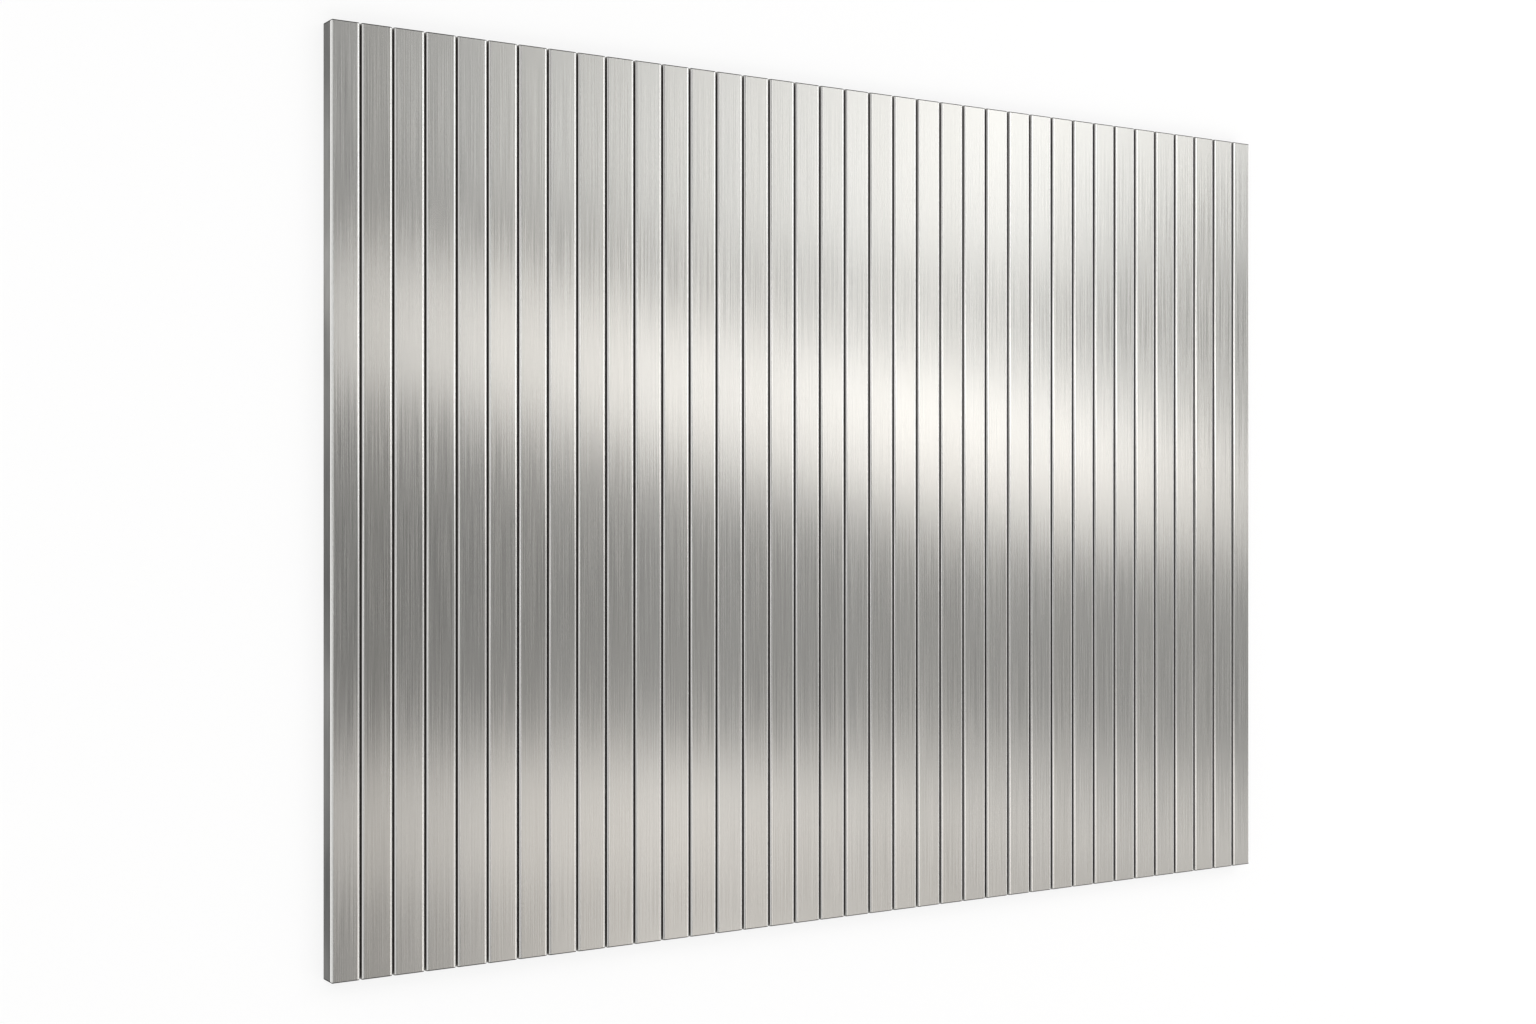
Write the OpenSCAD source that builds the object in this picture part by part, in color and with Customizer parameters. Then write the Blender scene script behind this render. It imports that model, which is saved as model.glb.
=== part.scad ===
// Stainless steel sheet with straight grooves along its whole length.
// It lies on its flat back with the grooved face up: X runs across the grooves,
// Y runs along them and Z is the thickness. The origin is the middle of the back.

/* [Sheet] */
// Width of the sheet, across the grooves
sheet_w = 600; // [300:1:1200]
// Length of the sheet, along the grooves
sheet_l = 450; // [150:1:2500]
// Thickness of the sheet
sheet_t = 10; // [8:0.5:20]

/* [Grooves] */
// Distance from the centre of one groove to the next, which is a strip and a slot
groove_pitch = 16.3; // [12:0.1:60]
// Width of the slot of each groove
groove_w = 1.3; // [0.6:0.1:2]
// Depth of each groove below the face
groove_d = 4; // [1.5:0.1:5]
// Width of the bevelled lip along each side of a slot
lip_w = 1.1; // [0.3:0.1:1.5]
// Depth of the lip where it meets the slot
lip_d = 0.4; // [0.1:0.05:0.8]

/* [Edges] */
// Radius of the face's two edges that run along the grooves
side_r = 1.4; // [0.3:0.1:2]
// Radius of the face's two edges at the cut ends
end_r = 0.5; // [0.2:0.1:2]
// Radius of the four upright corners
corner_r = 1; // [0.3:0.1:5]
// Chamfer that deburrs the edges of the back
back_chamfer = 0.4; // [0.1:0.1:1]

/* [Hidden] */
// How far a cutting shape reaches past the face that it cuts
over = 1;
// Facets of a full circle
$fn = 48;
// Number of grooves: the outermost ones lie between a half and a whole pitch from the sides
groove_n = floor(sheet_w / groove_pitch);
// Centre of the first groove
first_groove_x = -(groove_n - 1) / 2 * groove_pitch;

// The waste outside a rounded corner that points to +X +Y and has its tip at the origin
module round_waste(r) {
    difference() {
        translate([-r, -r]) square(r + over);
        translate([-r, -r]) circle(r);
    }
}

// The waste outside a chamfered corner that points to +X -Y and has its tip at the origin
module chamfer_waste(c) {
    polygon([[-c - over, -over], [over, c + over], [over, -over]]);
}

// One groove's profile, with its face at Y = 0: bevelled lips over a slot with a round bottom
module groove_profile() {
    slot_r = groove_w / 2;
    lip_edge = slot_r + lip_w;
    polygon([[-lip_edge, over], [-lip_edge, 0], [-slot_r, -lip_d],
             [slot_r, -lip_d], [lip_edge, 0], [lip_edge, over]]);
    translate([-slot_r, slot_r - groove_d]) square([groove_w, groove_d - slot_r]);
    translate([0, slot_r - groove_d]) circle(slot_r);
}

// A section of the plate: its two upper corners are rounded and its two lower ones chamfered
module plate_section(width, upper_r) {
    difference() {
        translate([-width / 2, 0]) square([width, sheet_t]);
        for (side = [0, 1])
            mirror([side, 0]) {
                translate([width / 2, sheet_t]) round_waste(upper_r);
                translate([width / 2, 0]) chamfer_waste(back_chamfer);
            }
    }
}

// The section across the sheet, which shows every groove
module cross_section() {
    difference() {
        plate_section(sheet_w, side_r);
        for (k = [0 : groove_n - 1])
            translate([first_groove_x + k * groove_pitch, sheet_t]) groove_profile();
    }
}

// The outline seen from above
module outline() {
    difference() {
        square([sheet_w, sheet_l], center = true);
        for (end_side = [0, 1], long_side = [0, 1])
            mirror([0, end_side]) mirror([long_side, 0])
                translate([sheet_w / 2, sheet_l / 2]) round_waste(corner_r);
    }
}

// The sheet, one solid: what its cross section, its long section and its outline have in common
module grooved_sheet() {
    color("silver") intersection() {
        rotate([90, 0, 0]) linear_extrude(sheet_l, center = true) cross_section();
        rotate([90, 0, 90]) linear_extrude(sheet_w, center = true) plate_section(sheet_l, end_r);
        linear_extrude(sheet_t) outline();
    }
}

grooved_sheet();
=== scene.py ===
import math
import bpy
from mathutils import Matrix, Vector


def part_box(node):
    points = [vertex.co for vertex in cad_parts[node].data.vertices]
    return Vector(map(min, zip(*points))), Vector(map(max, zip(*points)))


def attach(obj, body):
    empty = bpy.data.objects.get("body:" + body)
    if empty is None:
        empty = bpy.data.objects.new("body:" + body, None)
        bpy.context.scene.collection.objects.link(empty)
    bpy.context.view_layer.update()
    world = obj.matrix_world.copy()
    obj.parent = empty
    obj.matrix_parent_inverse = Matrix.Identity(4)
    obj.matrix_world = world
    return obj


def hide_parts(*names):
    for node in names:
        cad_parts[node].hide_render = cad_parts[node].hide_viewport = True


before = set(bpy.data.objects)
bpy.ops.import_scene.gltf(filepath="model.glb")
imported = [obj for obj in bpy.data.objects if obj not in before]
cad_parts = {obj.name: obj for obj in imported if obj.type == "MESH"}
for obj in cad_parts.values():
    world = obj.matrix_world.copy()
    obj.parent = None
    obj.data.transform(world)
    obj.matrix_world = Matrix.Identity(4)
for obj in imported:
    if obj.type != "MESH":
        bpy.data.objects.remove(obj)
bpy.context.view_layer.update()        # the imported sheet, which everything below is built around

sheetLow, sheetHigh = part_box("grooved_sheet")
sheetLength = sheetHigh.y - sheetLow.y
sheetThickness = sheetHigh.z - sheetLow.z
print("frame loaded: sheet", *(round(side, 4) for side in sheetHigh - sheetLow), "m")


# small helpers for modelling by hand

def startAtPoint(x, z):
    # a lone vertex on the near cut end, in edit mode
    bpy.ops.object.select_all(action="DESELECT")
    bpy.ops.mesh.primitive_plane_add(size=sheetThickness, location=(x, sheetLow.y, z))
    bpy.ops.object.mode_set(mode="EDIT")
    bpy.ops.mesh.merge(type="CENTER")


def drawLine(dx, dz):
    bpy.ops.mesh.extrude_region_move(TRANSFORM_OT_translate={"value": (dx, 0, dz)})


def drawArc(centerX, centerZ, angle, steps):
    # a positive angle turns from -Z towards +X
    bpy.ops.mesh.spin(steps=steps, angle=angle, center=(centerX, sheetLow.y, centerZ), axis=(0, 1, 0))


def applyModifiers(piece):
    bpy.ops.object.select_all(action="DESELECT")
    piece.select_set(True)
    bpy.context.view_layer.objects.active = piece
    for modifier in list(piece.modifiers):
        bpy.ops.object.modifier_apply(modifier=modifier.name)


def pickVertices(piece, wanted):
    # leaves edit mode, selects the vertices that pass, and goes back
    bpy.ops.mesh.select_mode(type="VERT")
    bpy.ops.mesh.select_all(action="DESELECT")
    bpy.ops.object.mode_set(mode="OBJECT")
    for vertex in piece.data.vertices:
        vertex.select = wanted(vertex.co)
    bpy.ops.object.mode_set(mode="EDIT")


def pickEdges(piece, wanted):
    # the same for edges, by their two ends
    bpy.ops.mesh.select_mode(type="EDGE")
    bpy.ops.mesh.select_all(action="DESELECT")
    bpy.ops.object.mode_set(mode="OBJECT")
    points = [vertex.co for vertex in piece.data.vertices]
    for edge in piece.data.edges:
        edge.select = wanted(points[edge.vertices[0]], points[edge.vertices[1]])
    bpy.ops.object.mode_set(mode="EDIT")


# the sheet: its end profile is drawn point by point, then pulled along the grooves

sheet = {
    "grooveCount": 36,
    "groovePitch": 0.0163,     # centre to centre
    "slotWidth": 0.0013,
    "slotDepth": 0.004,
    "lipWidth": 0.0011,        # rolled lip beside the slot
    "lipDepth": 0.0004,
    "sideRadius": 0.0014,      # long edges of the face
    "endRadius": 0.0005,       # face edges at the cut ends
    "cornerRadius": 0.001,     # four upright corners
    "backRadius": 0.0004,
    "arcSteps": 6,
    "edgeSegments": 6,
    "smoothAngle": 32,         # degrees
    "flatAngle": 1,            # degrees, below which two faces are merged
    "snap": 0.000005,          # how near counts as touching
}


def drawGrooveHalf():
    # from the slot's lowest point, up its wall, over the lip and on to the middle of the strip
    slotRadius = sheet["slotWidth"] / 2
    lipRadius = (sheet["lipWidth"] ** 2 + sheet["lipDepth"] ** 2) / (2 * sheet["lipDepth"])
    lipTurn = 2 * math.atan2(sheet["lipDepth"], sheet["lipWidth"])
    stripHalf = sheet["groovePitch"] / 2 - slotRadius - sheet["lipWidth"]
    bottom = sheetHigh.z - sheet["slotDepth"]
    startAtPoint(0, bottom)
    drawArc(0, bottom + slotRadius, math.pi / 2, sheet["arcSteps"])
    drawLine(0, sheet["slotDepth"] - slotRadius - sheet["lipDepth"])
    drawArc(slotRadius + sheet["lipWidth"], sheetHigh.z - lipRadius, -lipTurn, sheet["arcSteps"])
    drawLine(stripHalf, 0)


def mirrorGroove():
    bpy.ops.mesh.select_all(action="SELECT")
    bpy.ops.mesh.duplicate_move()
    bpy.ops.transform.resize(value=(-1, 1, 1), center_override=(0, sheetLow.y, 0))
    bpy.ops.mesh.select_all(action="SELECT")
    bpy.ops.mesh.remove_doubles(threshold=sheet["snap"])


def repeatGrooves(piece):
    firstGroove = -(sheet["grooveCount"] - 1) / 2 * sheet["groovePitch"]
    bpy.ops.transform.translate(value=(firstGroove, 0, 0))
    bpy.ops.object.mode_set(mode="OBJECT")
    bpy.ops.object.transform_apply(location=True, rotation=True, scale=True)
    array = piece.modifiers.new("grooves", "ARRAY")
    array.count = sheet["grooveCount"]
    array.use_relative_offset = False
    array.use_constant_offset = True
    array.constant_offset_displace = (sheet["groovePitch"], 0, 0)
    array.use_merge_vertices = True
    array.merge_threshold = sheet["snap"]
    applyModifiers(piece)
    bpy.ops.object.mode_set(mode="EDIT")


def drawSide(piece, side):
    # from the last strip's middle out to the long edge and down it to the back
    endOfRow = sheet["grooveCount"] / 2 * sheet["groovePitch"]
    pickVertices(piece, lambda point: abs(point.x - side * endOfRow) < sheet["snap"])
    drawLine(side * (sheetHigh.x - endOfRow), 0)
    drawLine(0, -sheetThickness)


def pullAlongGrooves(piece):
    # closes the profile across the back, fills it and gives it its length
    pickVertices(piece, lambda point: abs(point.z - sheetLow.z) < sheet["snap"])
    bpy.ops.mesh.edge_face_add()
    bpy.ops.mesh.select_all(action="SELECT")
    bpy.ops.mesh.edge_face_add()
    bpy.ops.mesh.select_all(action="SELECT")
    bpy.ops.mesh.extrude_region_move(TRANSFORM_OT_translate={"value": (0, sheetLength, 0)})
    bpy.ops.mesh.select_all(action="SELECT")
    bpy.ops.mesh.dissolve_limited(angle_limit=math.radians(sheet["flatAngle"]))
    bpy.ops.mesh.normals_make_consistent(inside=False)


def onOneEnd(a, b):
    return abs(a.y - b.y) < sheet["snap"] and abs(abs(a.y) - sheetHigh.y) < sheet["snap"]


def onOneSide(a, b):
    return abs(a.x - b.x) < sheet["snap"] and abs(abs(a.x) - sheetHigh.x) < sheet["snap"]


def onBack(a, b):
    return max(a.z, b.z) < sheetLow.z + sheet["snap"]


def onFace(a, b):
    return min(a.z, b.z) > sheetHigh.z - sheet["lipDepth"] - sheet["snap"]


def roundEdges(piece):
    # every kind of outer edge gets its own share of the widest radius
    kinds = (
        (sheet["endRadius"], lambda a, b: onOneEnd(a, b) and onFace(a, b)),
        (sheet["cornerRadius"], lambda a, b: onOneEnd(a, b) and onOneSide(a, b)),
        (sheet["sideRadius"], lambda a, b: onOneSide(a, b) and onFace(a, b)),
        (sheet["backRadius"], lambda a, b: onBack(a, b) and (onOneEnd(a, b) or onOneSide(a, b))),
    )
    for radius, wanted in kinds:
        pickEdges(piece, wanted)
        bpy.ops.transform.edge_bevelweight(value=radius / sheet["sideRadius"])
    bpy.ops.object.mode_set(mode="OBJECT")
    bevel = piece.modifiers.new("rounded edges", "BEVEL")
    bevel.width = sheet["sideRadius"]
    bevel.segments = sheet["edgeSegments"]
    bevel.limit_method = "WEIGHT"
    bevel.use_clamp_overlap = False
    applyModifiers(piece)


drawGrooveHalf()
steelSheet = bpy.context.active_object
steelSheet.name = "groovedSteelSheet"
mirrorGroove()
repeatGrooves(steelSheet)
drawSide(steelSheet, -1)
drawSide(steelSheet, 1)
pullAlongGrooves(steelSheet)
print("sheet pulled:", len(steelSheet.data.vertices), "vertices")
roundEdges(steelSheet)
print("sheet rounded:", len(steelSheet.data.vertices), "vertices")

steelSheet.data.name = "groovedSteelSheet"
bpy.ops.object.select_all(action="DESELECT")
steelSheet.select_set(True)
bpy.context.view_layer.objects.active = steelSheet
bpy.ops.object.shade_smooth_by_angle(angle=math.radians(sheet["smoothAngle"]))
flatStrips = steelSheet.modifiers.new("flat strips", "WEIGHTED_NORMAL")
flatStrips.keep_sharp = True      # strips stay flat and only the rolled edges curve
applyModifiers(steelSheet)
bpy.ops.object.mode_set(mode="EDIT")
bpy.ops.mesh.select_all(action="SELECT")
bpy.ops.uv.cube_project(cube_size=1, correct_aspect=False, scale_to_bounds=False)
bpy.ops.object.mode_set(mode="OBJECT")
steelSheet.data.uv_layers[0].name = "grainMap"      # U runs across the brushing on the face


# node helpers

def feed(tree, socket, value):
    # a socket is linked and anything else is written in
    if isinstance(value, bpy.types.NodeSocket):
        tree.links.new(value, socket)
    else:
        socket.default_value = value


def calc(tree, operation, first, second=0.0):
    node = tree.nodes.new("ShaderNodeMath")
    node.operation = operation
    feed(tree, node.inputs[0], first)
    feed(tree, node.inputs[1], second)
    return node.outputs[0]


def calcVector(tree, operation, first, second):
    node = tree.nodes.new("ShaderNodeVectorMath")
    node.operation = operation
    feed(tree, node.inputs[0], first)
    feed(tree, node.inputs[1], second)
    return node.outputs[0]


def span(tree, value, low, high, newLow, newHigh):
    node = tree.nodes.new("ShaderNodeMapRange")
    for label, entry in (("Value", value), ("From Min", low), ("From Max", high),
                         ("To Min", newLow), ("To Max", newHigh)):
        feed(tree, node.inputs[label], entry)
    return node.outputs[0]


def centred(tree, value, middle, reach):
    # a value from 0 to 1 becomes middle minus reach to middle plus reach
    return span(tree, value, 0, 1, middle - reach, middle + reach)


def vectorOf(tree, x, y, z):
    node = tree.nodes.new("ShaderNodeCombineXYZ")
    for socket, value in zip(node.inputs, (x, y, z)):
        feed(tree, socket, value)
    return node.outputs[0]


def partsOf(tree, vector):
    node = tree.nodes.new("ShaderNodeSeparateXYZ")
    tree.links.new(vector, node.inputs[0])
    return node.outputs


def noise(tree, vector, detail, roughness):
    node = tree.nodes.new("ShaderNodeTexNoise")
    tree.links.new(vector, node.inputs["Vector"])
    node.inputs["Scale"].default_value = 1
    node.inputs["Detail"].default_value = detail
    node.inputs["Roughness"].default_value = roughness
    return node.outputs[0]


def blend(tree, factor, first, second, mode="MIX"):
    node = tree.nodes.new("ShaderNodeMix")
    node.data_type = "RGBA"
    node.blend_type = mode
    feed(tree, node.inputs[0], factor)
    feed(tree, node.inputs[6], first)
    feed(tree, node.inputs[7], second)
    return node.outputs[2]


def shaded(tree, colour, light):
    return blend(tree, 1.0, colour, vectorOf(tree, light, light, light), "MULTIPLY")


def newGroup(name, inputs, outputs):
    group = bpy.data.node_groups.new(name, "ShaderNodeTree")
    for label, kind in inputs:
        group.interface.new_socket(label, in_out="INPUT", socket_type=kind)
    for label in outputs:
        group.interface.new_socket(label, in_out="OUTPUT", socket_type="NodeSocketFloat")
    return group, group.nodes.new("NodeGroupInput").outputs, group.nodes.new("NodeGroupOutput").inputs


def place(tree, group, **values):
    node = tree.nodes.new("ShaderNodeGroup")
    node.node_tree = group
    for label, value in values.items():
        feed(tree, node.inputs[label], value)
    return node.outputs


# finishes that several of the steel's surfaces share

pattern = {
    "hairScale": (1.8, 3.0, 1.8),    # how much finer the hair lines are than the streaks
    "lineDetail": 2.0,
    "lineRoughness": 0.6,
    "cloudScale": (1.6, 0.6, 1.6),   # clouds are longer along the grain
    "cloudDetail": 4.0,
    "cloudRoughness": 0.55,
    "reach": (0.3, 0.7),             # the noise between these fills 0 to 1
}


def makeBrushGrain():
    # lines left by the belt: broad streaks and hair lines, long one way and narrow the other
    group, given, out = newGroup(
        "brushGrain",
        (("Vector", "NodeSocketVector"), ("Across", "NodeSocketFloat"), ("Along", "NodeSocketFloat")),
        ("Streaks", "Hairs"))
    stretch = vectorOf(group, given["Across"], given["Along"], given["Across"])
    lines = calcVector(group, "MULTIPLY", given["Vector"], stretch)
    finer = calcVector(group, "MULTIPLY", lines, pattern["hairScale"])
    for label, vector in (("Streaks", lines), ("Hairs", finer)):
        marks = noise(group, vector, pattern["lineDetail"], pattern["lineRoughness"])
        feed(group, out[label], span(group, marks, *pattern["reach"], 0, 1))
    return group


def makeStripTone():
    # one random tone and one random warmth for each strip, by the distance across the sheet
    group, given, out = newGroup(
        "stripTone", (("Vector", "NodeSocketVector"), ("Step", "NodeSocketFloat")), ("Tone", "Warmth"))
    across = partsOf(group, given["Vector"])[0]
    number = calc(group, "FLOOR", calc(group, "ADD", calc(group, "DIVIDE", across, given["Step"]), 0.5))
    random = group.nodes.new("ShaderNodeTexWhiteNoise")
    random.noise_dimensions = "1D"
    feed(group, random.inputs["W"], number)
    feed(group, out["Tone"], random.outputs["Value"])
    feed(group, out["Warmth"], partsOf(group, random.outputs["Color"])[1])
    return group


def makeHandling():
    # faint clouding where the sheet was wiped and handled
    group, given, out = newGroup(
        "handling", (("Vector", "NodeSocketVector"), ("Size", "NodeSocketFloat")), ("Cloud",))
    stretched = calcVector(group, "MULTIPLY", given["Vector"], pattern["cloudScale"])
    sized = calcVector(group, "DIVIDE", stretched, vectorOf(group, *[given["Size"]] * 3))
    clouds = noise(group, sized, pattern["cloudDetail"], pattern["cloudRoughness"])
    feed(group, out["Cloud"], span(group, clouds, *pattern["reach"], 0, 1))
    return group


brushGrain = makeBrushGrain()
stripTone = makeStripTone()
handling = makeHandling()
print("shared finishes built")

steel = {
    "cool": (0.6215, 0.618, 0.595, 1),
    "warm": (0.6275, 0.620, 0.591, 1),
}


def newSteel(name):
    material = bpy.data.materials.new(name)
    material.use_nodes = True
    tree = material.node_tree
    shader = tree.nodes["Principled BSDF"]
    shader.inputs["Metallic"].default_value = 1.0
    here = tree.nodes.new("ShaderNodeTexCoord").outputs["Object"]
    return material, tree, shader, here


def addTangent(tree, shader, amount):
    # brushing spreads the light across the lines
    tangent = tree.nodes.new("ShaderNodeTangent")
    tangent.direction_type = "UV_MAP"
    tangent.uv_map = "grainMap"
    tree.links.new(tangent.outputs[0], shader.inputs["Tangent"])
    shader.inputs["Anisotropic"].default_value = amount


def addRelief(tree, shader, height, depth):
    bump = tree.nodes.new("ShaderNodeBump")
    bump.inputs["Distance"].default_value = depth
    feed(tree, bump.inputs["Height"], height)
    tree.links.new(bump.outputs[0], shader.inputs["Normal"])


# the strips of the face

face = {
    "across": 1500,          # streaks per metre across the grain
    "along": 4.5,            # and along it
    "stripTone": 0.03,       # shares of the steel's own lightness
    "streakTone": 0.04,
    "hairTone": 0.14,
    "anisotropy": 0.8,
    "roughness": (0.225, 0.245),
    "hairRoughness": 0.05,   # the lighter hair lines scatter more
    "cloudSize": 0.12,
    "cloudRoughness": 0.01,
    "relief": 0.0000016,
}


def makeBrushedFace():
    material, tree, shader, here = newSteel("brushedFaceSteel")
    grain = place(tree, brushGrain, Vector=here, Across=face["across"], Along=face["along"])
    tone = place(tree, stripTone, Vector=here, Step=sheet["groovePitch"])
    clouds = place(tree, handling, Vector=here, Size=face["cloudSize"])
    colour = blend(tree, tone["Warmth"], steel["cool"], steel["warm"])
    light = centred(tree, tone["Tone"], 1.0, face["stripTone"])
    light = calc(tree, "ADD", light, centred(tree, grain["Streaks"], 0, face["streakTone"]))
    light = calc(tree, "ADD", light, centred(tree, grain["Hairs"], 0, face["hairTone"]))
    feed(tree, shader.inputs["Base Color"], shaded(tree, colour, light))
    rough = span(tree, grain["Streaks"], 0, 1, *face["roughness"])
    rough = calc(tree, "ADD", rough, centred(tree, grain["Hairs"], 0, face["hairRoughness"]))
    rough = calc(tree, "ADD", rough, centred(tree, clouds["Cloud"], 0, face["cloudRoughness"]))
    feed(tree, shader.inputs["Roughness"], rough)
    addTangent(tree, shader, face["anisotropy"])
    addRelief(tree, shader, grain["Hairs"], face["relief"])
    return material


# the rolled lips beside the slots and the two long edges of the face, coloured lighter than the face's
# steel as a painted highlight

lip = {
    "across": 700,
    "along": 5,
    # painted highlight: a lighter colour than the face's steel, so that the lips show as bright lines
    "colour": (0.92, 0.916, 0.895, 1),
    "tone": 0.05,
    "streakTone": 0.03,
    "roughness": (0.17, 0.23),
    "anisotropy": 0.5,
}


def makeRolledLip():
    material, tree, shader, here = newSteel("rolledLipSteel")
    grain = place(tree, brushGrain, Vector=here, Across=lip["across"], Along=lip["along"])
    tone = place(tree, stripTone, Vector=here, Step=sheet["groovePitch"] / 2)
    light = centred(tree, tone["Tone"], 1.0, lip["tone"])
    light = calc(tree, "ADD", light, centred(tree, grain["Streaks"], 0, lip["streakTone"]))
    feed(tree, shader.inputs["Base Color"], shaded(tree, lip["colour"], light))
    feed(tree, shader.inputs["Roughness"], span(tree, grain["Streaks"], 0, 1, *lip["roughness"]))
    addTangent(tree, shader, lip["anisotropy"])
    return material


# inside the slots: a dull, rough finish, coloured darker than the face's steel and darker still towards
# the slot bottom as painted shade

slot = {
    "across": 1800,
    "along": 25,
    "roughness": (0.42, 0.6),
    # painted shade: the slot's colours are darker than the face's steel and darkest at the bottom
    "top": (0.42, 0.41, 0.395, 1),
    "bottom": (0.30, 0.29, 0.275, 1),
}


def makeSlotSteel():
    material, tree, shader, here = newSteel("slotSteel")
    grain = place(tree, brushGrain, Vector=here, Across=slot["across"], Along=slot["along"])
    height = partsOf(tree, here)[2]
    # painted shade: the colour darkens from just below the lips down to the slot bottom
    depth = span(tree, height, sheetHigh.z - sheet["slotDepth"], sheetHigh.z - sheet["lipDepth"], 1, 0)
    colour = blend(tree, depth, slot["top"], slot["bottom"])
    feed(tree, shader.inputs["Base Color"], colour)
    feed(tree, shader.inputs["Roughness"], span(tree, grain["Streaks"], 0, 1, *slot["roughness"]))
    return material


# around the sheet: long sides that were filed, and cut ends as the saw left them, both with painted
# light and shade

cut = {
    "across": 1600,
    "along": 14,
    "streakTone": 0.1,
    "patchSize": 0.11,
    "patchShift": (0, 2.8, 0),
    "patchPower": 1.8,       # above 1 leaves fewer light patches
}

# painted light and shade: the filed side's colour goes from far darker than steel up to its light tone,
# stretch by stretch
filed = {
    "light": (0.41, 0.404, 0.388, 1),
    "dark": (0.055, 0.054, 0.051, 1),
    "roughness": (0.3, 0.42),
}

# painted shade: the cut ends are coloured nearly black, so that their rounded edges show as a dark line
# along the sheet's ends
sawn = {
    "light": (0.1, 0.098, 0.094, 1),
    "dark": (0.03, 0.029, 0.028, 1),
    "roughness": (0.66, 0.82),
}


def makeCutSteel(name, finish):
    # painted light and shade: lighter and darker stretches along the edge, where it mirrors brighter and
    # darker surroundings, and the tool's lines along the edge
    material, tree, shader, here = newSteel(name)
    grain = place(tree, brushGrain, Vector=here, Across=cut["across"], Along=cut["along"])
    shifted = calcVector(tree, "ADD", here, cut["patchShift"])
    patches = place(tree, handling, Vector=shifted, Size=cut["patchSize"])
    # painted light and shade: where the stretches along the edge turn light or dark
    paintedLight = calc(tree, "POWER", patches["Cloud"], cut["patchPower"])
    colour = blend(tree, paintedLight, finish["dark"], finish["light"])
    light = centred(tree, grain["Streaks"], 1.0, cut["streakTone"])
    feed(tree, shader.inputs["Base Color"], shaded(tree, colour, light))
    feed(tree, shader.inputs["Roughness"], span(tree, grain["Hairs"], 0, 1, *finish["roughness"]))
    return material


# the plain back, as the mill rolled it

back = {
    "across": 260,
    "along": 18,
    "cloudSize": 0.09,
    "roughness": (0.34, 0.46),
    "colour": (0.53, 0.525, 0.51, 1),
    "lightness": 0.96,       # share of that colour, give or take the two below
    "streakTone": 0.12,
    "cloudTone": 0.1,
}


def makeMillBack():
    material, tree, shader, here = newSteel("millBackSteel")
    grain = place(tree, brushGrain, Vector=here, Across=back["across"], Along=back["along"])
    clouds = place(tree, handling, Vector=here, Size=back["cloudSize"])
    light = centred(tree, grain["Streaks"], back["lightness"], back["streakTone"])
    light = calc(tree, "ADD", light, centred(tree, clouds["Cloud"], 0, back["cloudTone"]))
    feed(tree, shader.inputs["Base Color"], shaded(tree, back["colour"], light))
    feed(tree, shader.inputs["Roughness"], span(tree, clouds["Cloud"], 0, 1, *back["roughness"]))
    return material


filedSide = makeCutSteel("filedSideSteel", filed)
sawnEnd = makeCutSteel("sawnEndSteel", sawn)
steelFinishes = (makeBrushedFace(), makeRolledLip(), makeSlotSteel(), filedSide, makeMillBack(), sawnEnd)
for finish in steelFinishes:
    steelSheet.data.materials.append(finish)
print("steel finishes made:", len(steelFinishes))


surface = {
    # what a face's normal has to pass
    "back": -0.3,            # lower than this
    "end": 0.05,             # further along Y than this
    "flat": 0.99999,         # higher than this
    "upright": 0.97,         # further along X than this
}


def finishOf(polygon):
    # by its place in the list above: 0 face, 1 lip, 2 slot, 3 filed side, 4 back, 5 sawn end
    near = sheet["snap"]
    center, normal = polygon.center, polygon.normal
    slotReach = sheet["slotWidth"] / 2 + near
    fromGroove = abs((center.x / sheet["groovePitch"]) % 1 - 0.5) * sheet["groovePitch"]
    inRow = abs(center.x) < sheet["grooveCount"] / 2 * sheet["groovePitch"]
    if normal.z < surface["back"]:
        return 4
    if abs(normal.y) > surface["end"]:
        return 5
    if normal.z > surface["flat"] and center.z > sheetHigh.z - near:
        return 0
    if inRow and fromGroove < slotReach and center.z < sheetHigh.z - sheet["lipDepth"] + near:
        return 2
    if abs(normal.x) > surface["upright"]:
        return 3
    return 1


for polygon in steelSheet.data.polygons:
    polygon.material_index = finishOf(polygon)
steelSheet.data.update()
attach(steelSheet, "root")
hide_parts("grooved_sheet")


# studio: a pale floor, softboxes overhead and a white room with a dark ceiling

studio = {
    "floorSize": 4.7,
    "floorColour": (0.95, 0.95, 0.95, 1),
    "floorRoughness": 0.9,
    "floorGlow": 0.8,        # share of plain white that the eye and the metal see in the floor
    "room": 0.2,             # how bright the dark ceiling is, and the room to matte surfaces
    "roomColour": (1, 0.99, 0.975, 1),
    "ceiling": (0.3, 0.4),   # sines of the height at which the white room turns into it
    "warmGreen": 0.6,        # green that a warm lamp loses, as a share of the blue
}


def makeFloor():
    bpy.ops.object.select_all(action="DESELECT")
    bpy.ops.mesh.primitive_plane_add(size=studio["floorSize"], location=(0, 0, sheetLow.z))
    floor = bpy.context.active_object
    floor.name = "studioFloor"
    material = bpy.data.materials.new("paleFloor")
    material.use_nodes = True
    tree = material.node_tree
    shader = tree.nodes["Principled BSDF"]
    shader.inputs["Base Color"].default_value = studio["floorColour"]
    shader.inputs["Roughness"].default_value = studio["floorRoughness"]
    white = tree.nodes.new("ShaderNodeEmission")
    seen = tree.nodes.new("ShaderNodeLightPath")
    mix = tree.nodes.new("ShaderNodeMixShader")
    direct = calc(tree, "MAXIMUM", seen.outputs["Is Camera Ray"], seen.outputs["Is Glossy Ray"])
    direct = calc(tree, "MAXIMUM", direct, seen.outputs["Is Transmission Ray"])
    feed(tree, mix.inputs[0], calc(tree, "MULTIPLY", direct, studio["floorGlow"]))
    tree.links.new(shader.outputs[0], mix.inputs[1])
    tree.links.new(white.outputs[0], mix.inputs[2])
    tree.links.new(mix.outputs[0], tree.nodes["Material Output"].inputs["Surface"])
    floor.data.materials.append(material)


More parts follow.
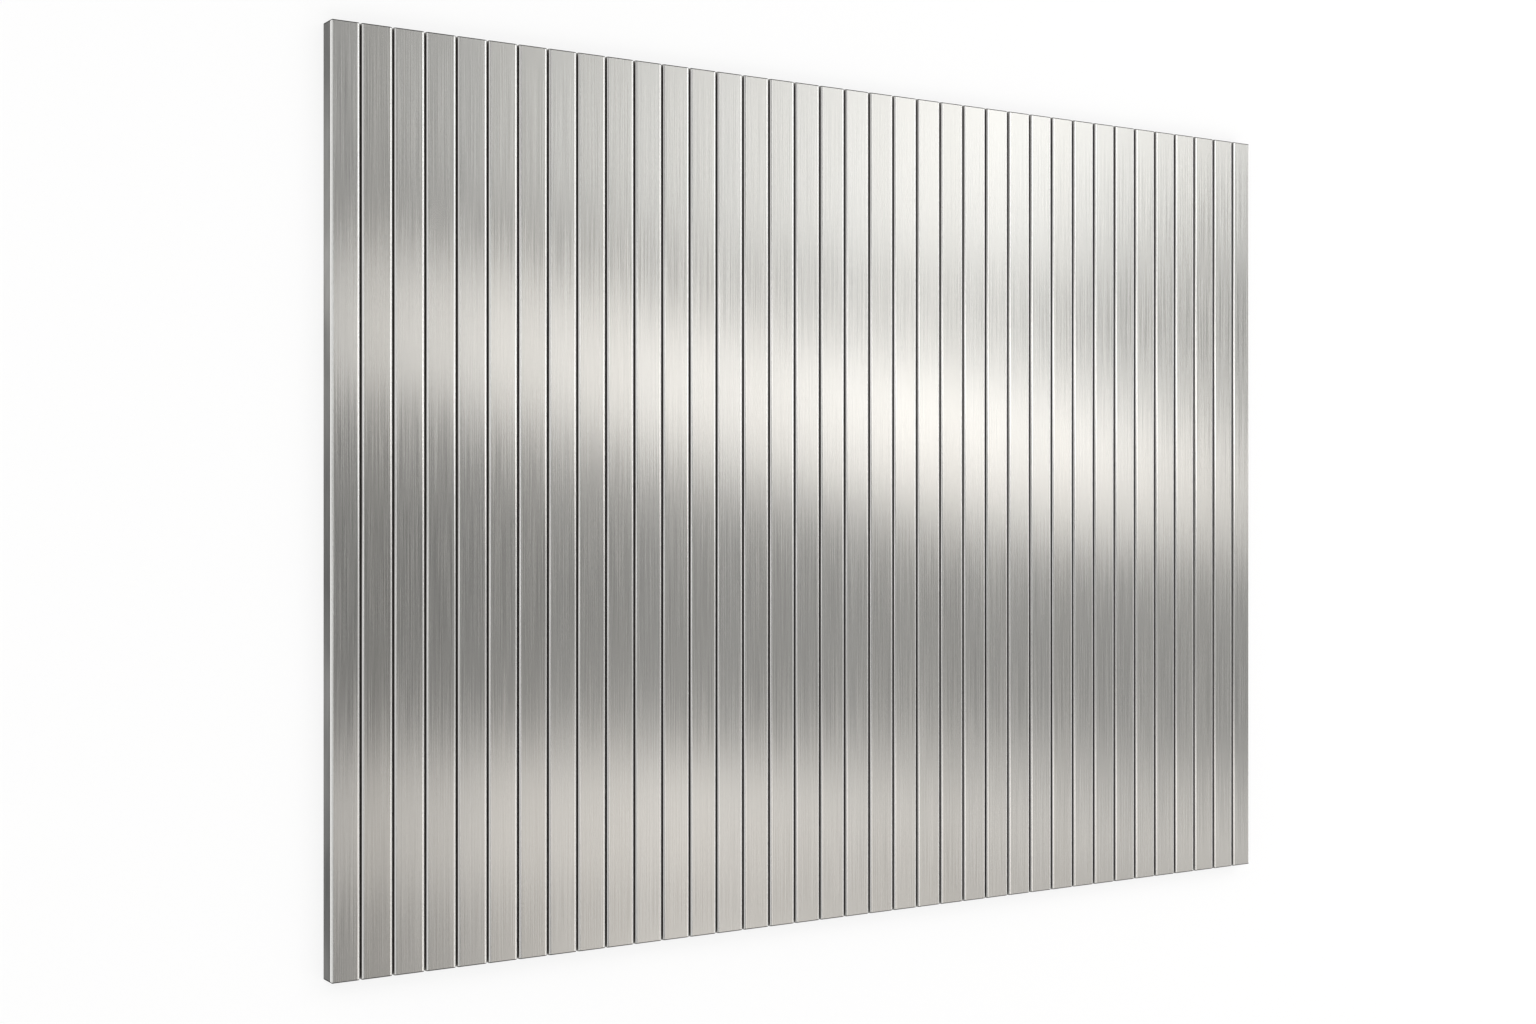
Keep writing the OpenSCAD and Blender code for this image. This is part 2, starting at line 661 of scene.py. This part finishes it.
def makeRoom():
    # the camera sees white all round, and metal and glass see it up to the dark ceiling
    world = bpy.data.worlds.new("studioRoom")
    bpy.context.scene.world = world
    world.use_nodes = True
    tree = world.node_tree
    quiet = tree.nodes["Background"]
    quiet.inputs["Color"].default_value = studio["roomColour"]
    quiet.inputs["Strength"].default_value = studio["room"]
    white = tree.nodes.new("ShaderNodeBackground")
    white.inputs["Color"].default_value = (1, 1, 1, 1)
    seen = tree.nodes.new("ShaderNodeLightPath")
    mix = tree.nodes.new("ShaderNodeMixShader")
    mirrored = calc(tree, "MAXIMUM", seen.outputs["Is Glossy Ray"], seen.outputs["Is Transmission Ray"])
    height = partsOf(tree, tree.nodes.new("ShaderNodeTexCoord").outputs["Object"])[2]
    mirrored = calc(tree, "MULTIPLY", mirrored, span(tree, height, *studio["ceiling"], 1, 0))
    feed(tree, mix.inputs[0], calc(tree, "MAXIMUM", seen.outputs["Is Camera Ray"], mirrored))
    tree.links.new(quiet.outputs[0], mix.inputs[1])
    tree.links.new(white.outputs[0], mix.inputs[2])
    tree.links.new(mix.outputs[0], tree.nodes["World Output"].inputs["Surface"])


# a slanted row of softboxes hangs over the sheet, and its gaps make the dark bands in the steel
rig = {
    "center": (0.64, 0, 0.96),
    "turn": -10.8,           # degrees
    "layerGap": 0.005,       # softboxes in one plane would hide each other
}

overheads = {
    # name: (along the rig, across it), (length, width), glow, warmth
    "base": ((0.5, 0.45), (1.8, 1.6), 0.23, 0),
    "crest": ((-0.06, 0.09), (1.15, 0.15), 1.2, 0.05),
    "crestCore": ((0.18, 0.185), (0.48, 0.12), 1.0, 0),
    "upper": ((-0.11, 0.51), (0.84, 0.55), 0.66, 0),
    "upperCore": ((0.14, 0.47), (0.33, 0.32), 1.06, 0),
    "top": ((1.3, 0.7), (2.04, 0.38), 0.57, 0),
    "lower": ((0.33, -0.46), (1.46, 0.3), 0.47, 0.075),
    "lowerCore": ((-0.11, -0.36), (0.41, 0.16), 0.47, 0.08),
    "lowerLeft": ((-0.54, -0.41), (0.56, 0.13), 0.44, 0.08),
    "bottom": ((0.46, -0.68), (1.36, 0.41), 0.55, 0.08),
    "rightUpper": ((0.72, 0.14), (1.1, 0.11), 0.36, 0.08),
    "rightLower": ((0.72, -0.27), (1.18, 0.11), 0.36, 0.07),
    "bridge": ((-1.04, -0.13), (0.35, 0.36), 0.6, 0),
    "upperLeft": ((-0.66, 0.45), (0.26, 0.4), 0.16, 0),
    "far": ((-0.3, 0.9), (1.0, 0.2), 0.3, 0),
}

sideLamps = {
    # name: place, the point it faces, (width, height), glow
    "leftUpper": ((-0.88, 0.4, 0.94), (0, 0.4, 0), (0.7, 1.25), 0.45),
    "leftLower": ((-0.88, -0.46, 0.94), (0, -0.46, 0), (0.88, 1.25), 0.44),
    "highNear": ((0, -2.4, 3.04), (0, 0, 3.04), (10.5, 2.72), 1.27),
    "highFar": ((0, 2.4, 3.04), (0, 0, 3.04), (10.5, 2.72), 1.32),
}

fills = {
    # low walls that light matte surfaces only, because metal shows the white room there
    "wallNear": ((0, -2.4, 0.84), (0, 0, 0.84), (10.5, 1.68), 0.55),
    "wallFar": ((0, 2.4, 0.84), (0, 0, 0.84), (10.5, 1.68), 0.6),
    "wallLeft": ((-2.6, 0, 0.6), (0, 0, 0.6), (4.8, 1.2), 0.8),
    "wallRight": ((2.6, 0, 0.6), (0, 0, 0.6), (4.8, 1.2), 0.55),
}


def addSoftbox(name, size, glow, warmth=0.0):
    lamp = bpy.data.lights.new(name, "AREA")
    lamp.shape = "RECTANGLE"
    lamp.size, lamp.size_y = size
    lamp.energy = glow * math.pi * size[0] * size[1]
    lamp.color = (1, 1 - studio["warmGreen"] * warmth, 1 - warmth)
    softbox = bpy.data.objects.new(name, lamp)
    bpy.context.collection.objects.link(softbox)
    return softbox


def makeSoftboxes():
    turn = math.radians(rig["turn"])
    hang = Matrix.Translation(rig["center"]) @ Matrix.Rotation(turn, 4, "Z")
    for layer, (name, (center, size, glow, warmth)) in enumerate(overheads.items()):
        softbox = addSoftbox(name, size, glow, warmth)
        softbox.location = hang @ Vector((*center, layer * rig["layerGap"]))
        softbox.rotation_euler = (0, 0, turn)
    for name, (center, target, size, glow) in {**sideLamps, **fills}.items():
        softbox = addSoftbox(name, size, glow)
        softbox.location = center
        facing = Vector(target) - Vector(center)
        softbox.rotation_euler = facing.to_track_quat("-Z", "Y").to_euler()
        softbox.visible_glossy = name not in fills


view = {
    "lens": 47.6,            # mm
    "sensor": 36,            # mm
    "lean": 32.7,            # degrees from straight down
    "distance": 1.077,
    "aim": (-0.058, -0.005),
}


def makeCamera():
    lean = math.radians(view["lean"])
    camera = bpy.data.objects.new("camera", bpy.data.cameras.new("camera"))
    bpy.context.collection.objects.link(camera)
    camera.data.lens = view["lens"]
    camera.data.sensor_width = view["sensor"]
    aimX, aimY = view["aim"]
    camera.location = (aimX - view["distance"] * math.sin(lean), aimY,
                       sheetHigh.z + view["distance"] * math.cos(lean))
    camera.rotation_euler = (0, -lean, 0)
    bpy.context.scene.camera = camera


makeFloor()
makeRoom()
makeSoftboxes()
makeCamera()
bpy.context.scene.view_settings.view_transform = "Standard"
print("studio set")
